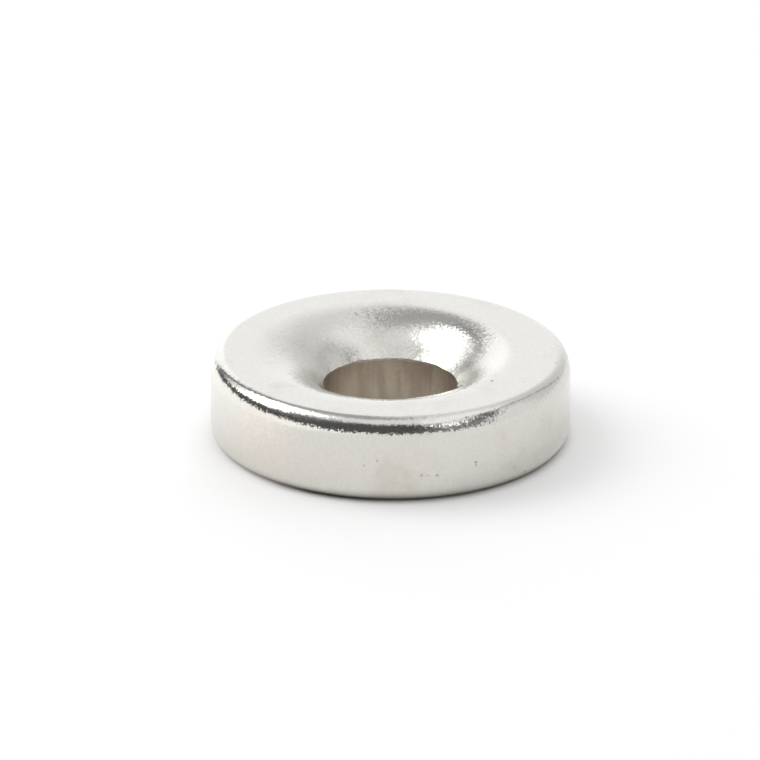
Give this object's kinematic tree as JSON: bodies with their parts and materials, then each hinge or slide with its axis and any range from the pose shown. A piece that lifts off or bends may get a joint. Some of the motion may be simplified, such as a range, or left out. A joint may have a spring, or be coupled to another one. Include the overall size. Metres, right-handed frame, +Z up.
{
  "type": "countersunk ring magnet",
  "caption": "Flat sintered ring magnet, nickel plated, with a central screw hole whose broad countersink takes a flat-head screw, for holding steel or catching a door.",
  "frame": {"origin": "centre of the flat back face, on the axis of the screw hole", "axes": "+Z up the screw hole and out of the countersunk face; X and Y lie in the back face and are alike, because the ring is round"},
  "size_m": [0.015, 0.015, 0.0037],
  "materials": {
    "nickel_plate": "satin nickel plate with a fine grain"
  },
  "bodies": {
    "root": {"ring_magnet": "nickel_plate"}
  },
  "joints": []
}
